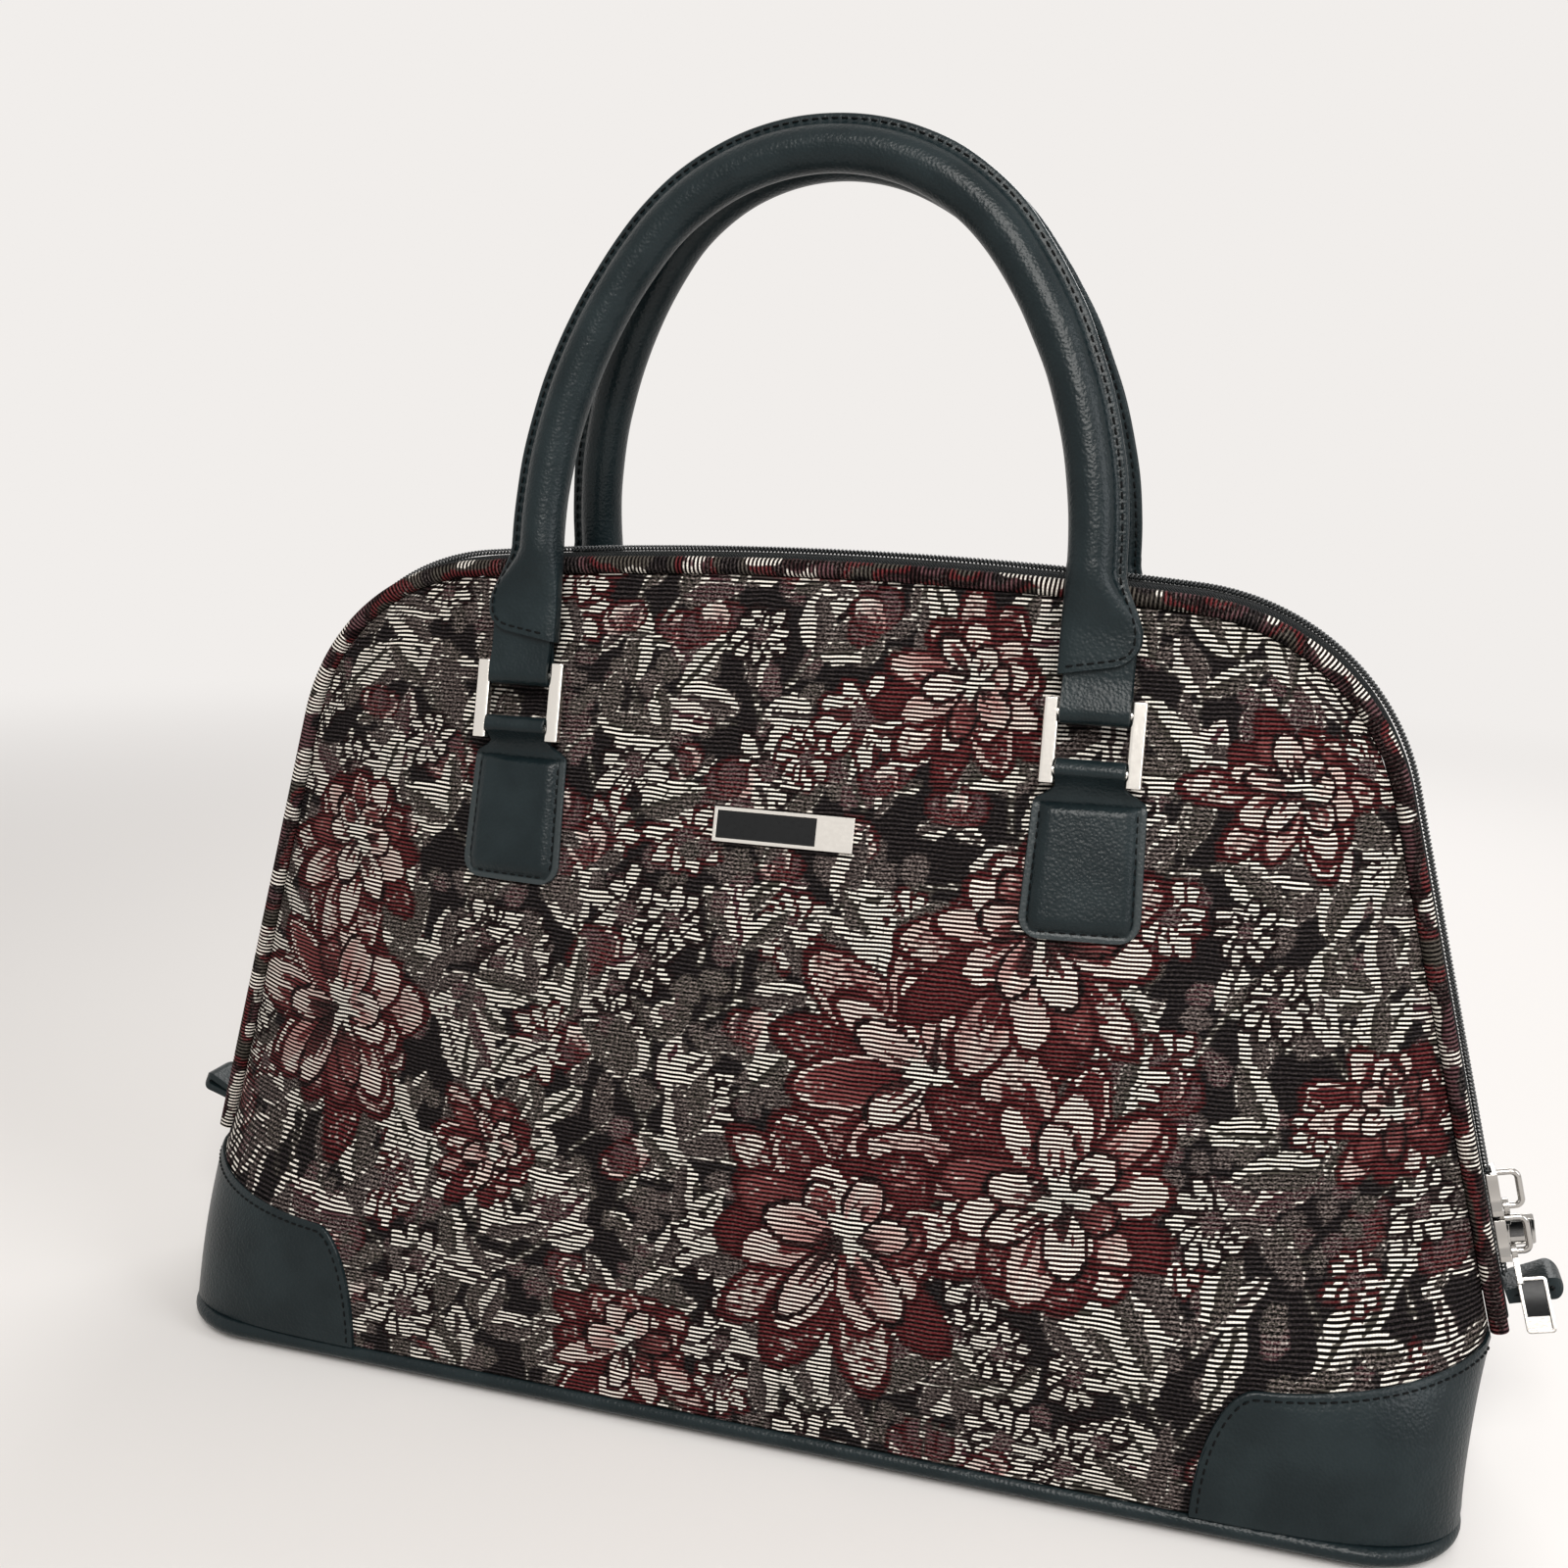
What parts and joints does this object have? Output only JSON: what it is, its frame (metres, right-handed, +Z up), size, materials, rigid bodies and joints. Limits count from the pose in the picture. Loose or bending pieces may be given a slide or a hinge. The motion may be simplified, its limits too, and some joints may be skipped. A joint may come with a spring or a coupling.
{
  "type": "travel bag",
  "caption": "Dome-topped carpet bag in woven floral tapestry with dark leather-look trim, a zip over the top with paired sliders, and arched grab handles on metal rings.",
  "frame": {"origin": "middle of the bag on the floor under the feet", "axes": "+X across the bag to the end with the zip sliders, -Y to the front, +Z up"},
  "size_m": [0.5754, 0.1636, 0.4886],
  "materials": {
    "tapestry": "woven floral tapestry",
    "leather": "semi-gloss, fine grain",
    "zip_tape": "twill",
    "zip_coil": "satin nylon",
    "metal": "polished",
    "enamel": "gloss",
    "foot": "satin",
    "board": "plain fibreboard",
    "core": "cord filling"
  },
  "bodies": {
    "bag": {"front_panel": "tapestry", "rear_panel": "tapestry", "front_piping": "tapestry", "rear_piping": "tapestry", "front_zip_tape": "zip_tape", "rear_zip_tape": "zip_tape", "front_zip_coil": "zip_coil", "rear_zip_coil": "zip_coil", "left_end_wrap": "leather", "right_end_wrap": "leather", "base_panel": "leather", "base_board": "board", "base_piping": "leather", "front_left_foot": "foot", "front_right_foot": "foot", "rear_left_foot": "foot", "rear_right_foot": "foot", "left_zip_tab": "leather", "right_zip_tab": "leather", "name_plate": "metal", "name_plate_inlay": "enamel", "front_left_tab": "leather", "front_right_tab": "leather", "rear_left_tab": "leather", "rear_right_tab": "leather"},
    "front_rings": {"front_left_ring": "metal", "front_right_ring": "metal"},
    "rear_rings": {"rear_left_ring": "metal", "rear_right_ring": "metal"},
    "front_handle": {"front_handle": "leather", "front_handle_core": "core", "front_left_loop": "leather", "front_right_loop": "leather"},
    "rear_handle": {"rear_handle": "leather", "rear_handle_core": "core", "rear_left_loop": "leather", "rear_right_loop": "leather"},
    "lower_slider": {"lower_slider": "metal"},
    "lower_pull": {"lower_pull": "metal"},
    "upper_slider": {"upper_slider": "metal"},
    "upper_pull": {"upper_pull": "metal"}
  },
  "joints": [
    {"name": "front_ring_hinge", "type": "hinge", "parent": "bag", "child": "front_rings", "pos_m": [0, -0.04072, 0.261], "axis": [1, 0, 0], "range_deg": [0, 95]},
    {"name": "front_handle_hinge", "type": "hinge", "parent": "front_rings", "child": "front_handle", "pos_m": [0, -0.03645, 0.281], "axis": [1, 0, 0], "range_deg": [0, 75]},
    {"name": "rear_ring_hinge", "type": "hinge", "parent": "bag", "child": "rear_rings", "pos_m": [0, 0.04072, 0.261], "axis": [-1, 0, 0], "range_deg": [0, 95]},
    {"name": "rear_handle_hinge", "type": "hinge", "parent": "rear_rings", "child": "rear_handle", "pos_m": [0, 0.03645, 0.281], "axis": [-1, 0, 0], "range_deg": [0, 75]},
    {"name": "lower_slide", "type": "slide", "parent": "bag", "child": "lower_slider", "axis": [-0.2546, 0, 0.967], "range_m": [0, 0.07]},
    {"name": "upper_slide", "type": "slide", "parent": "lower_slider", "child": "upper_slider", "axis": [-0.2546, 0, 0.967], "range_m": [0, 0.07]},
    {"name": "lower_pull_hinge", "type": "hinge", "parent": "lower_slider", "child": "lower_pull", "pos_m": [0.26442, 0, 0.08718], "axis": [-0.967, 0, -0.2546], "range_deg": [0, 110]},
    {"name": "upper_pull_hinge", "type": "hinge", "parent": "upper_slider", "child": "upper_pull", "pos_m": [0.25994, 0, 0.1042], "axis": [0.967, 0, 0.2546], "range_deg": [0, 110]}
  ]
}
